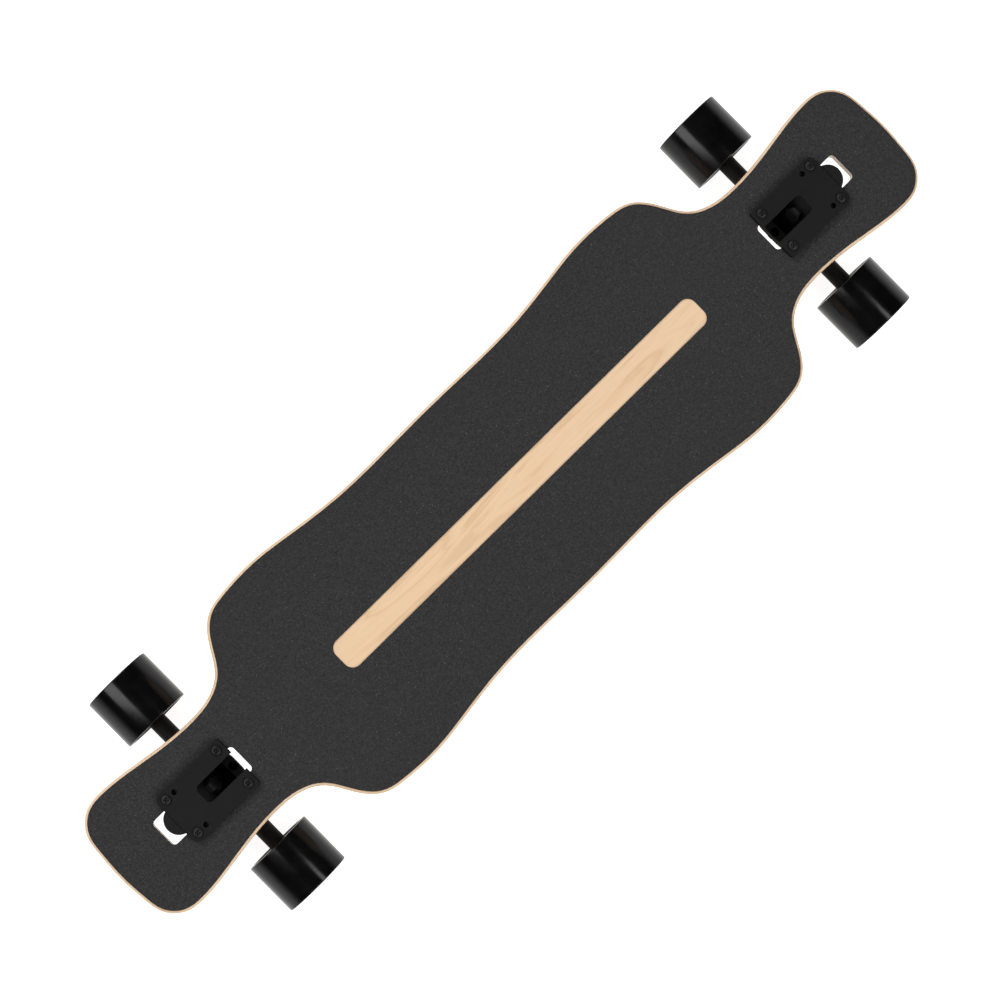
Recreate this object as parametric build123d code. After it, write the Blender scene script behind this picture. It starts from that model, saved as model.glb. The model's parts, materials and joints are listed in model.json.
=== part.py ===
from build123d import *
from math import asin, atan2, cos, degrees, pi, radians, sin
import os

# An electric longboard: a drop-through deck on two reverse-kingpin trucks, with hub motors in the
# rear wheels and a battery and motor controller in a tray under the deck.
# Millimetres. X runs along the board towards the front, Y to the left and Z up. The origin is on
# the ground below the deck's centre.

# ---- deck ----
deck_length = 990.6
belly_width = 242.4
waist_width = 220.8
neck_width = 114.0
flare_width = 135.6
nose_face_width = 96.0
nose_bow = 5.3
nose_overhang = 111.3
deck_thickness = 11.0
deck_edge_radius = 3.0
flat_width = 120.0
rail_rise = 8.0
grip_thickness = 0.8
grip_glue = 0.12
grip_inset = 2.6
stripe_length = 465.2
stripe_width = 30.9
stripe_corner = 9.5
stripe_centre_x = 18.2

# ---- wheels ----
wheel_radius = 35.0
wheel_width = 54.5
wheel_edge_radius = 2.5
wheel_inner_y = 79.65
bearing_outer_radius = 11.0
bearing_bore_radius = 4.05
bearing_width = 7.0
ball_radius = 1.9
balls_per_bearing = 7
axle_radius = 4.0

# ---- trucks: one side view, x outwards from the plate's centre ----
plate_length = 80.0
plate_width = 57.5
plate_thickness = 6.0
plate_outer_corner = 8.0
plate_inner_corner = 2.5
plug_width = 28.6
plug_reach = 50.0
plug_depth = 14.0
bolt_spacing_x = 63.5
bolt_spacing_y = 41.3
spare_hole_x = 21.65
bolt_radius = 2.4
bolt_hole_radius = 2.7
bolt_head_radius = 4.7
bolt_head_height = 2.8
cutout_inner_x = -44.0
cutout_outer_x = 56.5
cutout_clearance = 0.45
cutout_corner = 4.0
slot_width = 20.0
slot_step_x = -27.0
slot_step_depth = 11.0
knock_out_radius = 4.4
tower_back_x = -37.0
tower_foot_x = -26.0
tower_straight_depth = 24.0
tower_corner = 8.0
slot_end_x = 7.0
slot_corner = 6.0
axle_x = -8.0
steer_slope = 50.0
steer_limit = 18.0
rake = 2.8
ring_distance = 40.6
plate_rise = 32.1
hanger_bar_radius = 8.8
hanger_half_length = 92.0
ring_radius = 17.5
ring_hole_radius = 7.0
ring_web = 7.0
ring_height = 13.0
kingpin_radius = 4.76
kingpin_head_width = 14.0
kingpin_head_height = 6.0
kingpin_wall = 8.0
kingpin_nut_width = 14.3
kingpin_nut_height = 8.0
bushing_radius = 14.5
bushing_height = 15.0
washer_thickness = 1.5
pivot_pin_radius = 4.5
pivot_pin_depth = 5.0
pivot_cup_wall = 1.5
pivot_boss_wall = 1.8
joint_gap = 1.5

# ---- hub motors in the rear wheels ----
motor_can_radius = 27.0
motor_can_wall = 2.5
motor_hanger_half_length = 84.0
magnet_count = 14
magnet_thickness = 1.9
magnet_length = 26.0
stator_teeth = 12
stator_length = 20.0
air_gap = 0.5
cover_recesses = 6
winding_thickness = 1.6

# ---- under-deck tray ----
tray_length = 430.0
tray_inner_width = 94.0
tray_wall = 2.5
tray_lip = 7.5
tray_depth = 30.0
gasket_thickness = 2.0
screw_radius = 2.0
screw_pitch = 52.0
screw_grip_depth = 7.0
cell_radius = 9.1
cell_length = 65.0
cell_rows = 4
cells_across = 5
cell_pitch = 18.6
cell_link_thickness = 0.4
pack_front_x = 205.0
board_thickness = 1.6
button_radius = 4.4
button_travel = 0.8
port_bore_radius = 3.4
port_cap_radius = 7.5
side_feature_drop = 15.0
gland_y = 25.0

# ---- fits ----
seat_gap = 0.1
running_gap = 0.08

# ---- places worked out from the sizes above ----
half_length = deck_length / 2
truck_x = half_length - nose_overhang
slope = radians(steer_slope)
along_x, along_z = cos(slope), sin(slope)
down_x, down_z = sin(slope), -cos(slope)
axle_z = wheel_radius
foot_x = axle_x - rake * down_x
foot_z = axle_z - rake * down_z
ring_x = foot_x + ring_distance * along_x
ring_z = foot_z + ring_distance * along_z
plate_top = ring_z + plate_rise
plate_bottom = plate_top - plate_thickness
deck_top = plate_bottom - grip_thickness - grip_glue
deck_bottom = deck_top - deck_thickness
rail_width = (belly_width - flat_width) / 2
rail_radius = (rail_width**2 + rail_rise**2) / (2 * rail_rise)
seat_offset = ring_web / 2 + bushing_height + washer_thickness
boss_face = hanger_bar_radius + joint_gap
wheel_centre_y = wheel_inner_y + wheel_width / 2
tray_top = deck_bottom - gasket_thickness
tray_bottom = tray_top - tray_depth
tray_outer_width = tray_inner_width + 2 * tray_wall
lip_width = tray_outer_width + 2 * tray_lip
screw_steps = round((tray_length - tray_lip) / screw_pitch)
screw_spacing = (tray_length - tray_lip) / screw_steps
port_x = -1.5 * screw_spacing
button_x = -2.5 * screw_spacing


def side_point(along, down):
    """A point (x, z) measured along the steering axis and down from it, from the axle's foot on it."""
    return (foot_x + along * along_x + down * down_x, foot_z + along * along_z + down * down_z)


def cylinder_z(radius, low, high, x=0.0, y=0.0):
    return Pos(x, y, (low + high) / 2) * Cylinder(radius, high - low)


def block(x0, x1, y0, y1, z0, z1):
    centre = Pos((x0 + x1) / 2, (y0 + y1) / 2, (z0 + z1) / 2)
    return centre * Box(x1 - x0, y1 - y0, z1 - z0)


def turned(points):
    """Turns a profile of (radius, height) points about Z."""
    return revolve(Plane.XZ * make_face(Polyline(*points, close=True)), Axis.Z)


def ring(inner, outer, low, high):
    return cylinder_z(outer, low, high) - cylinder_z(inner, low - 1, high + 1)


def hexagon(width, low, high):
    return Pos(0, 0, low) * extrude(RegularPolygon(width / 2, 6, major_radius=False), high - low)


def on_kingpin(shape):
    """Stands a shape made along Z on the front kingpin, with +Z down the pin from the ring's centre."""
    pin = Plane(origin=(ring_x, 0, ring_z), x_dir=(0, 1, 0), z_dir=(down_x, 0, down_z))
    return pin.location * shape


def on_steering_axis(shape):
    """Lays a shape made along Z on the front steering axis, with +Z outwards from the axle's foot."""
    axis = Plane(origin=(foot_x, 0, foot_z), x_dir=(0, 1, 0), z_dir=(along_x, 0, along_z))
    return axis.location * shape


def on_axle(shape):
    """Lays a shape made along Z on the front axle, with +Z to the left."""
    return Pos(axle_x, 0, axle_z) * Rot(-90, 0, 0) * shape


def solids_of(shapes):
    found = []
    for shape in shapes if isinstance(shapes, list) else [shapes]:
        found.extend(shape.solids())
    return found


def both_sides(shapes):
    right = [mirror(s, Plane.XZ) for s in solids_of(shapes)]
    return solids_of(shapes) + right


def at_front(shapes):
    return [Pos(truck_x, 0, 0) * s for s in solids_of(shapes)]


def at_rear(shapes):
    return [mirror(s, Plane.YZ) for s in at_front(shapes)]


def at_both_ends(shapes):
    return at_front(shapes) + at_rear(shapes)


# ---- deck and grip tape ----

def quarter_points():
    """The deck's edge from the middle of its left side to the middle of its nose."""
    waist, belly = waist_width / 2, belly_width / 2
    neck, flare = neck_width / 2, flare_width / 2
    belly_x = truck_x - 177
    drop = belly - neck
    corner = flare - nose_face_width / 2
    return [
        (0, waist),
        (belly_x - 93, waist),
        (belly_x - 45, (waist + belly) / 2),
        (belly_x, belly),
        (belly_x + 40, belly - 0.02 * drop),
        (belly_x + 64, belly - 0.11 * drop),
        (belly_x + 83, belly - 0.42 * drop),
        (belly_x + 99, belly - 0.79 * drop),
        (belly_x + 117, neck + 0.055 * drop),
        (truck_x - 34, neck),
        (truck_x + 18, neck + 0.42 * (flare - neck)),
        (half_length - 42, flare),
        (half_length - 22, flare - 0.15 * corner),
        (half_length - 11.5, flare - 0.53 * corner),
        (half_length - nose_bow, nose_face_width / 2),
        (half_length - nose_bow / 4, nose_face_width / 4),
        (half_length, 0),
    ]


def deck_outline(inset):
    ends = ((1, 0), (0, -1))
    edge = Spline(*quarter_points(), tangents=ends)
    moved = []
    for x, y in quarter_points():
        direction = edge.tangent_at(edge.param_at_point(Vector(x, y)))
        moved.append((x + inset * direction.Y, y - inset * direction.X))
    moved[0] = (0, waist_width / 2 - inset)
    moved[-1] = (half_length - inset, 0)
    quarter = Spline(*moved, tangents=ends)
    half = quarter + mirror(quarter, Plane.XZ)
    return make_face((half + mirror(half, Plane.YZ)).edges())


def concave_slab(low, high):
    """A long slab that follows the deck's concave, between two heights above its top face."""
    reach = asin((belly_width - flat_width) / 2 / (rail_radius - 2 * deck_thickness)) * 1.15

    def rail(height, angle, side):
        radius = rail_radius - height
        return (side * (flat_width / 2 + radius * sin(angle)), deck_top + rail_radius - radius * cos(angle))

    edges = []
    for side in (1, -1):
        for height in (low, high):
            stops = [rail(height, reach * part, side) for part in (0, 0.5, 1)]
            edges.append(ThreePointArc(*stops))
        edges.append(Line(rail(low, reach, side), rail(high, reach, side)))
    for height in (low, high):
        edges.append(Line(rail(height, 0, 1), rail(height, 0, -1)))
    return extrude(Plane.YZ * make_face(edges), half_length + 5, both=True)


def cutout(clearance):
    """The drop-through window of one truck, with the clearance taken off all round."""
    length = cutout_outer_x - cutout_inner_x - 2 * clearance
    width = plug_width + 2 * cutout_clearance - 2 * clearance
    face = RectangleRounded(length, width, cutout_corner - clearance)
    return Pos((cutout_inner_x + cutout_outer_x) / 2, 0, deck_bottom - 5) * extrude(face, 30)


def bolt_places():
    return [(sx * bolt_spacing_x / 2, sy * bolt_spacing_y / 2) for sx in (-1, 1) for sy in (-1, 1)]


def truck_holes(radius):
    holes = [cylinder_z(radius, deck_bottom - 5, plate_top + 5, x, y) for x, y in bolt_places()]
    return at_both_ends(holes)


def screw_places():
    """Where the tray is screwed to the deck, all round its lip."""
    x_end = tray_length / 2 - tray_lip / 2
    y_side = tray_outer_width / 2 + tray_lip / 2
    places = [(x_end - i * screw_spacing, s * y_side) for i in range(screw_steps + 1) for s in (1, -1)]
    return places + [(x_end, 0), (-x_end, 0)]


def make_deck():
    flat = Pos(0, 0, deck_bottom - 5) * extrude(deck_outline(0), deck_thickness + rail_rise + 20)
    board = concave_slab(-deck_thickness, 0) & flat
    board = fillet(board.edges().filter_by(lambda e: abs(e.tangent_at(0.5).Z) < 0.5), deck_edge_radius)
    board = board.cut(*at_both_ends(cutout(0)), *truck_holes(bolt_hole_radius))
    pilots = [
        cylinder_z(screw_radius + seat_gap, deck_bottom - 1, deck_bottom + screw_grip_depth + 0.5, x, y)
        for x, y in screw_places()
    ]
    return board.cut(*pilots)


def make_grip_tape():
    flat = Pos(0, 0, deck_bottom) * extrude(deck_outline(grip_inset), deck_thickness + rail_rise + 20)
    sheet = concave_slab(grip_glue, grip_glue + grip_thickness) & flat
    stripe = extrude(RectangleRounded(stripe_length, stripe_width, stripe_corner), 40)
    stripe = Pos(stripe_centre_x, 0, deck_bottom) * stripe
    return sheet.cut(stripe, *at_both_ends(cutout(0)), *truck_holes(bolt_hole_radius))


# ---- trucks ----

def make_baseplate():
    plug_half = plug_width / 2
    flange = extrude(Rectangle(plate_length, plate_width), plate_thickness)
    outer = flange.edges().filter_by(Axis.Z).group_by(Axis.X)[-1]
    flange = fillet(outer, plate_outer_corner)
    inner = flange.edges().filter_by(Axis.Z).group_by(Axis.X)[0]
    flange = fillet(inner, plate_inner_corner)
    flange = Pos(0, 0, plate_bottom) * fillet(flange.faces().sort_by(Axis.Z)[-1].edges(), 1.2)

    front_face = -(ring_height / 2 + 5.5)
    profile = [
        (tower_back_x, plate_top - 2),
        (tower_back_x, plate_top - tower_straight_depth),
        (tower_foot_x, side_point(-boss_face, front_face)[1] - 9),
        side_point(-boss_face, front_face),
        side_point(ring_distance - ring_radius, front_face),
        side_point(ring_distance - ring_radius, -seat_offset),
        side_point(ring_distance + ring_radius, -seat_offset),
        (plug_reach, plate_top - plug_depth),
        (plug_reach, plate_top - 2),
    ]
    body = extrude(Plane.XZ * make_face(Polyline(*profile, close=True)), plug_half, both=True)
    plan = block(tower_back_x, plug_reach - plug_half, -plug_half, plug_half, 0, plate_top)
    plan = fillet(plan.edges().filter_by(Axis.Z).group_by(Axis.X)[0], tower_corner)
    body = body & (plan + cylinder_z(plug_half, 0, plate_top, plug_reach - plug_half))

    boss_radius = pivot_pin_radius + running_gap + pivot_cup_wall + seat_gap + pivot_boss_wall
    cup_floor = -boss_face - pivot_pin_depth - pivot_cup_wall - 0.3
    boss = cylinder_z(boss_radius, cup_floor - pivot_boss_wall, -boss_face)
    boss = on_steering_axis(chamfer(boss.edges().sort_by(Axis.Z)[0], pivot_boss_wall))
    plate = flange + body + boss

    pocket_face = [
        side_point(ring_distance - 60, -seat_offset - kingpin_wall),
        side_point(ring_distance + 40, -seat_offset - kingpin_wall),
        (60, plate_top + 60),
        (-90, plate_top + 60),
    ]
    pocket = extrude(Plane.XZ * make_face(Polyline(*pocket_face, close=True)), slot_width / 2, both=True)
    slot = Pos((slot_end_x - 60) / 2, 0, 0) * RectangleRounded(60 + slot_end_x, slot_width, slot_corner)
    slot = extrude(slot, plate_top + 20)
    pocket = pocket & slot & block(slot_step_x, 40, -30, 30, 0, plate_top + 20)
    step = slot & block(-60, slot_step_x, -30, 30, plate_top - slot_step_depth, plate_top + 5)
    knock_x = (slot_step_x + tower_back_x) / 2
    knock_out = cylinder_z(knock_out_radius, plate_top - slot_step_depth - 12, plate_top, knock_x)

    recess = on_kingpin(cylinder_z(ring_radius + 1, -seat_offset, 60))
    pin_hole = on_kingpin(cylinder_z(kingpin_radius + seat_gap, -70, 0))
    cup_radius = pivot_pin_radius + running_gap + pivot_cup_wall + seat_gap
    cup_hole = on_steering_axis(cylinder_z(cup_radius, cup_floor, 10))
    spare = [(spare_hole_x, sy * bolt_spacing_y / 2) for sy in (-1, 1)]
    holes = [
        cylinder_z(bolt_hole_radius, plate_bottom - 1, plate_top + 1, x, y) for x, y in bolt_places() + spare
    ]
    return plate.cut(pocket, step, knock_out, recess, pin_hole, cup_hole, *holes)


def make_hanger(half_span, bearing_shoulder):
    """The steering casting: a round bar, a pivot pin behind it and the bushing ring above it."""
    bar = cylinder_z(hanger_bar_radius, -half_span, half_span)
    bar = fillet(bar.edges(), 0.8)
    shoulder = cylinder_z(bearing_shoulder, -half_span - 1, half_span + 1)
    bar = on_axle(bar + shoulder)
    pin = cylinder_z(pivot_pin_radius, -boss_face - pivot_pin_depth, 0)
    pin = fillet(pin.edges().sort_by(Axis.Z)[0], pivot_pin_radius * 0.6)
    collar = cylinder_z(pivot_pin_radius + 2.5, -hanger_bar_radius, 0)
    eye = on_kingpin(cylinder_z(ring_radius, -ring_height / 2, ring_height / 2))
    seats = [
        on_kingpin(cylinder_z(bushing_radius + 0.8, ring_web / 2, 40)),
        on_kingpin(cylinder_z(bushing_radius + 0.8, -40, -ring_web / 2)),
    ]
    hole = on_kingpin(cylinder_z(ring_hole_radius, -20, 20))
    wing = [
        (-hanger_bar_radius + 1, -46),
        (-hanger_bar_radius + 1, 46),
        (6, 44),
        (17, 22),
        (ring_distance, ring_radius - 1),
        (ring_distance, 1 - ring_radius),
        (17, -22),
        (6, -44),
    ]
    web = Plane.XY * make_face(Polyline(*wing, close=True))
    web_plane = Plane(origin=(foot_x, 0, foot_z), x_dir=(along_x, 0, along_z), z_dir=(down_x, 0, down_z))
    web = web_plane.location * (Pos(0, 0, -ring_web / 2) * extrude(web, ring_web))
    neck = block(-hanger_bar_radius + 1, 9, -12, 12, -ring_web / 2, rake)
    neck = web_plane.location * neck
    hanger = bar + on_steering_axis(pin + collar) + web + neck + eye
    return hanger.cut(hole, *seats, on_axle(cylinder_z(axle_radius + seat_gap, -200, 200)))


def make_kingpin():
    shaft = cylinder_z(kingpin_radius, -seat_offset - kingpin_wall, seat_offset + kingpin_nut_height + 3)
    shaft = chamfer(shaft.edges().sort_by(Axis.Z)[-1], 1)
    low = -seat_offset - kingpin_wall - kingpin_head_height
    head = hexagon(kingpin_head_width, low, -seat_offset - kingpin_wall)
    head = chamfer(head.faces().sort_by(Axis.Z)[0].edges(), 0.6)
    return on_kingpin(shaft + head)


def make_kingpin_nut():
    nut = hexagon(kingpin_nut_width, seat_offset, seat_offset + kingpin_nut_height)
    return on_kingpin(nut - cylinder_z(kingpin_radius + seat_gap, 0, 60))


def make_bushing_washers():
    washers = []
    for side in (-1, 1):
        low, high = sorted((side * (seat_offset - washer_thickness), side * seat_offset))
        washers.append(on_kingpin(ring(kingpin_radius + seat_gap, bushing_radius, low + 0.05, high - 0.05)))
    return washers


def make_bushing(side):
    """A urethane barrel on the kingpin: side is -1 towards the deck and 1 towards the road."""
    near, far = ring_web / 2 + seat_gap, ring_web / 2 + bushing_height - 0.05
    low, high = sorted((side * near, side * far))
    barrel = fillet(cylinder_z(bushing_radius, low, high).edges(), 1.5)
    return on_kingpin(barrel - cylinder_z(kingpin_radius + seat_gap, low - 1, high + 1))


def make_pivot_cup():
    inner = pivot_pin_radius + running_gap
    outer = inner + pivot_cup_wall
    floor = -boss_face - pivot_pin_depth - 0.3
    cup = cylinder_z(outer, floor - pivot_cup_wall + 0.1, -boss_face + 0.4)
    return on_steering_axis(cup - cylinder_z(inner, floor, 0))


def make_truck_bolts():
    bolts = []
    for x, y in bolt_places():
        head = cylinder_z(bolt_head_radius, plate_top, plate_top + bolt_head_height)
        head = fillet(head.edges().sort_by(Axis.Z)[-1], bolt_head_height * 0.7)
        for turn in (45, 135):
            arm = Box(bolt_head_radius * 1.15, 1.1, 2 * 1.6)
            head -= Pos(0, 0, plate_top + bolt_head_height) * Rot(0, 0, turn) * arm
        shaft = cylinder_z(bolt_radius, deck_bottom - 8, plate_top)
        bolts.append(Pos(x, y, 0) * (head + shaft))
    return bolts


def make_truck_lock_nuts():
    nuts = []
    for x, y in bolt_places():
        nut = hexagon(9.5, deck_bottom - 6, deck_bottom)
        nuts.append(Pos(x, y, 0) * (nut - cylinder_z(bolt_radius + seat_gap, deck_bottom - 9, deck_bottom + 1)))
    return nuts


# ---- axle, wheels and bearings; places along the axle are distances from the deck's centre line ----
front_bearings = (hanger_half_length + 1.15, hanger_half_length + 1.15 + bearing_width + 10)
front_stack_end = front_bearings[1] + bearing_width
rear_bearings = (motor_hanger_half_length + 1.15, wheel_inner_y + wheel_width - 14.5)
rear_stack_end = rear_bearings[1] + bearing_width
race_mid = (bearing_outer_radius + axle_radius) / 2


def make_axle(stack_end, nut_height):
    end = stack_end + 1.2 + nut_height + 1
    axle = cylinder_z(axle_radius, -end, end)
    return on_axle(chamfer(axle.edges(), 0.8))


def make_axle_nuts(stack_end, nut_height):
    nut = hexagon(13, stack_end + 1.2, stack_end + 1.2 + nut_height)
    nut = chamfer(nut.faces().sort_by(Axis.Z)[-1].edges(), 0.5)
    return both_sides(on_axle(nut - cylinder_z(axle_radius + seat_gap, 0, 200)))


def make_axle_spacers(bearings, stack_end, sleeve_radius):
    """The speed washer outside the bearings and the sleeve that holds them apart."""
    sleeve = ring(axle_radius + seat_gap, sleeve_radius, bearings[0] + bearing_width + 0.05, bearings[1] - 0.05)
    washer = ring(axle_radius + seat_gap, 6.2, stack_end + 0.1, stack_end + 1.1)
    return both_sides([on_axle(sleeve), on_axle(washer)])


def make_inner_rings(bearings):
    rings = []
    for low in bearings:
        race = ring(bearing_bore_radius, race_mid - 1.4, low, low + bearing_width)
        groove = Pos(0, 0, low + bearing_width / 2) * Torus(race_mid, ball_radius + 0.3)
        rings.append(on_axle(race - groove))
    return both_sides(rings)


def make_bearings(bearings):
    """Outer rings and balls on the left, without the shields."""
    pieces = []
    for low in bearings:
        middle = low + bearing_width / 2
        race = ring(race_mid + 1.4, bearing_outer_radius, low, low + bearing_width)
        groove = Pos(0, 0, middle) * Torus(race_mid, ball_radius + 0.05)
        pieces.append(on_axle(race - groove))
        ball = Pos(race_mid, 0, middle) * Sphere(ball_radius)
        for i in range(balls_per_bearing):
            pieces.append(on_axle(Rot(0, 0, 360 * i / balls_per_bearing) * ball))
    return pieces


wheel_inner = wheel_inner_y
wheel_outer = wheel_inner_y + wheel_width
core_radius = 19.0
core_low = front_bearings[0] - 1.2
core_high = front_stack_end + 1.2


def make_front_tyre():
    lip = core_radius - 3
    inner_edge, outer_edge = core_radius + 3.5, core_radius + 2.5
    profile = [
        (inner_edge, wheel_inner),
        (wheel_radius, wheel_inner),
        (wheel_radius, wheel_outer),
        (outer_edge, wheel_outer),
        (lip, core_high + 0.1),
        (core_radius + seat_gap, core_high + 0.1),
        (core_radius + seat_gap, core_low - 0.1),
        (lip, core_low - 0.1),
    ]
    tyre = turned(profile)
    rims = [e for e in tyre.edges().filter_by(GeomType.CIRCLE) if abs(e.radius - wheel_radius) < 0.01]
    return on_axle(fillet(rims, wheel_edge_radius))


def make_front_core():
    core = ring(race_mid, core_radius, core_low, core_high)
    for low, high in ((core_low - 1, front_bearings[0] + bearing_width), (front_bearings[1], core_high + 1)):
        core -= cylinder_z(bearing_outer_radius + seat_gap, low, high)
    web = (front_bearings[0] + bearing_width, front_bearings[1])
    return on_axle(core - cylinder_z(9.2, web[0] - 0.5, web[1] + 0.5))


can_low = wheel_inner + 2.5
can_high = wheel_outer - 6.0


def make_rear_tyre():
    tyre = ring(motor_can_radius + seat_gap, wheel_radius, wheel_inner, wheel_outer)
    rims = [e for e in tyre.edges().filter_by(GeomType.CIRCLE) if abs(e.radius - wheel_radius) < 0.01]
    return on_axle(fillet(rims, wheel_edge_radius))


def make_motor_can():
    seat = rear_bearings[0]
    inner = motor_can_radius - motor_can_wall
    profile = [
        (bearing_outer_radius + seat_gap, seat - 0.6),
        (bearing_outer_radius + 3, can_low),
        (motor_can_radius, can_low),
        (motor_can_radius, can_high),
        (inner, can_high),
        (inner, can_low + 3),
        (bearing_outer_radius + 3, can_low + 3),
        (bearing_outer_radius + 3, seat + bearing_width + 1.5),
        (race_mid + 1.6, seat + bearing_width + 1.5),
        (race_mid + 1.6, seat + bearing_width + 0.1),
        (bearing_outer_radius + seat_gap, seat + bearing_width + 0.1),
    ]
    return on_axle(turned(profile))


def make_end_cover():
    seat = rear_bearings[1]
    inner = motor_can_radius - motor_can_wall - seat_gap
    profile = [
        (bearing_outer_radius + seat_gap, seat),
        (bearing_outer_radius + seat_gap, can_high + 3.5),
        (motor_can_radius, can_high + 3.5),
        (motor_can_radius, can_high + seat_gap),
        (inner, can_high + seat_gap),
        (inner, can_high - 2),
        (bearing_outer_radius + 3, can_high - 2),
        (bearing_outer_radius + 3, seat - 1.5),
        (race_mid + 1.6, seat - 1.5),
        (race_mid + 1.6, seat),
    ]
    cover = turned(profile)
    for i in range(cover_recesses):
        recess = cylinder_z(2.9, can_high + 2.2, can_high + 5, motor_can_radius - 5)
        cover -= Rot(0, 0, 360 * i / cover_recesses) * recess
    return on_axle(cover)


stator_low = (rear_bearings[0] + bearing_width + rear_bearings[1] - stator_length) / 2
stator_high = stator_low + stator_length
magnet_inner = motor_can_radius - motor_can_wall - seat_gap - magnet_thickness
stator_radius = magnet_inner - air_gap
sleeve_radius = 7.0
tooth_root = 11.0
tooth_width = 3.4
tooth_tip = 1.6


def make_magnets():
    middle = (stator_low + stator_high) / 2
    shell = ring(magnet_inner, magnet_inner + magnet_thickness, middle - magnet_length / 2, middle + magnet_length / 2)
    pitch = 2 * pi * magnet_inner / magnet_count
    slab = block(magnet_inner - 3, motor_can_radius, -pitch / 2 + 0.4, pitch / 2 - 0.4, middle - 30, middle + 30)
    magnet = shell & slab
    return [on_axle(Rot(0, 0, 360 * i / magnet_count) * magnet) for i in range(magnet_count)]


def make_stators():
    stator = ring(sleeve_radius + seat_gap, tooth_root, stator_low, stator_high)
    rim = ring(stator_radius - tooth_tip, stator_radius, stator_low, stator_high)
    pitch = 2 * pi * stator_radius / stator_teeth
    tip = rim & block(0, 40, -pitch / 2 + 1, pitch / 2 - 1, stator_low, stator_high)
    arm = block(tooth_root - 1, stator_radius - tooth_tip / 2, -tooth_width / 2, tooth_width / 2, stator_low, stator_high)
    tooth = arm + tip
    stator = stator.fuse(*[Rot(0, 0, 360 * i / stator_teeth) * tooth for i in range(stator_teeth)])
    return both_sides(on_axle(stator))


def make_windings():
    inner, outer = tooth_root + 1.9, stator_radius - tooth_tip - 0.3
    half = tooth_width / 2 + seat_gap
    high, low = stator_high + winding_thickness, stator_low - winding_thickness
    coil = block(inner, outer, -half - winding_thickness, half + winding_thickness, low, high)
    coil -= block(inner - 1, outer + 1, -half, half, stator_low - seat_gap, stator_high + seat_gap)
    return both_sides([on_axle(Rot(0, 0, 360 * i / stator_teeth) * coil) for i in range(stator_teeth)])


# ---- tray, battery and electronics ----
floor_top = tray_bottom + tray_wall
inside_length = tray_length - 2 * tray_lip - 2 * tray_wall
wall_y = tray_outer_width / 2
feature_z = tray_top - side_feature_drop
cradle_height = 4.0
cell_z = floor_top + 1.0 + cell_radius
row_pitch = cell_length + 3 * cell_link_thickness
row_centres = [pack_front_x - 12 - cell_length / 2 - i * row_pitch for i in range(cell_rows)]
pack_rear_x = row_centres[-1] - cell_length / 2
board_z = floor_top + 6.0
management_x = (pack_rear_x - 38, pack_rear_x - 8)
controller_x = (-inside_length / 2 + 6, pack_rear_x - 46)
heat_plate_x = (controller_x[0] + 4, controller_x[1] - 4)
heat_plate_half = 27.0


def make_tray():
    outer = extrude(RectangleRounded(tray_length - 2 * tray_lip, tray_outer_width, 14), tray_depth)
    outer = fillet(outer.faces().sort_by(Axis.Z)[0].edges(), 6)
    inner = extrude(RectangleRounded(inside_length, tray_inner_width, 14 - tray_wall), tray_depth)
    lip = extrude(RectangleRounded(tray_length, lip_width, 20), tray_wall)
    tray = Pos(0, 0, tray_bottom) * outer + Pos(0, 0, tray_top - tray_wall) * lip
    holes = [cylinder_z(screw_radius + seat_gap, tray_bottom, tray_top + 1, x, y) for x, y in screw_places()]
    window = block(*heat_plate_x, -heat_plate_half, heat_plate_half, tray_bottom - 1, floor_top + 1)
    button_hole = Pos(button_x, wall_y, feature_z) * Rot(-90, 0, 0) * Cylinder(button_radius + 1.7 + seat_gap, 12)
    port_hole = Pos(port_x, wall_y, feature_z) * Rot(-90, 0, 0) * Cylinder(port_bore_radius + 1.6 + seat_gap, 12)
    glands = [
        Pos(-tray_length / 2 + tray_lip, s * gland_y, feature_z) * Rot(0, 90, 0) * Cylinder(4 + seat_gap, 12)
        for s in (-1, 1)
    ]
    inside = Pos(0, 0, floor_top) * inner
    return tray.cut(inside, window, button_hole, port_hole, *glands, *holes)


def make_gasket():
    outer = extrude(RectangleRounded(tray_length, lip_width, 20), gasket_thickness - 0.1)
    inner = extrude(RectangleRounded(inside_length, tray_inner_width, 14 - tray_wall), 10)
    holes = [cylinder_z(screw_radius + seat_gap, -1, 10, x, y) for x, y in screw_places()]
    return Pos(0, 0, tray_top + 0.05) * outer.cut(inner, *holes)


def make_screws():
    screws = []
    lip_bottom = tray_top - tray_wall
    for x, y in screw_places():
        head = cylinder_z(3.4, lip_bottom - 2.2, lip_bottom)
        head = fillet(head.edges().sort_by(Axis.Z)[0], 1)
        socket = Pos(0, 0, lip_bottom - 3) * extrude(RegularPolygon(1.3, 6), 2)
        shaft = cylinder_z(screw_radius, lip_bottom, deck_bottom + screw_grip_depth)
        screws.append(Pos(x, y, 0) * (head - socket + shaft))
    return screws


def cell_ys():
    return [(j - (cells_across - 1) / 2) * cell_pitch for j in range(cells_across)]


def make_cells():
    cell = Rot(0, 90, 0) * fillet(Cylinder(cell_radius, cell_length).edges(), 0.8)
    return [Pos(x, y, cell_z) * cell for x in row_centres for y in cell_ys()]


def make_cradles():
    cradles = []
    for x in row_centres:
        half_y = tray_inner_width / 2 - 0.5
        cradle = block(x - 12, x + 12, -half_y, half_y, floor_top, floor_top + cradle_height)
        seats = [Pos(x, y, cell_z) * Rot(0, 90, 0) * Cylinder(cell_radius + seat_gap, 40) for y in cell_ys()]
        cradles.append(cradle.cut(*seats))
    return cradles


def make_cell_links():
    ends = [x + cell_length / 2 + 0.1 for x in row_centres] + [pack_rear_x - 0.1 - cell_link_thickness]
    width = cells_across * cell_pitch / 2 - 5
    return [block(x, x + cell_link_thickness, -width, width, cell_z - 3.5, cell_z + 3.5) for x in ends]


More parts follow.
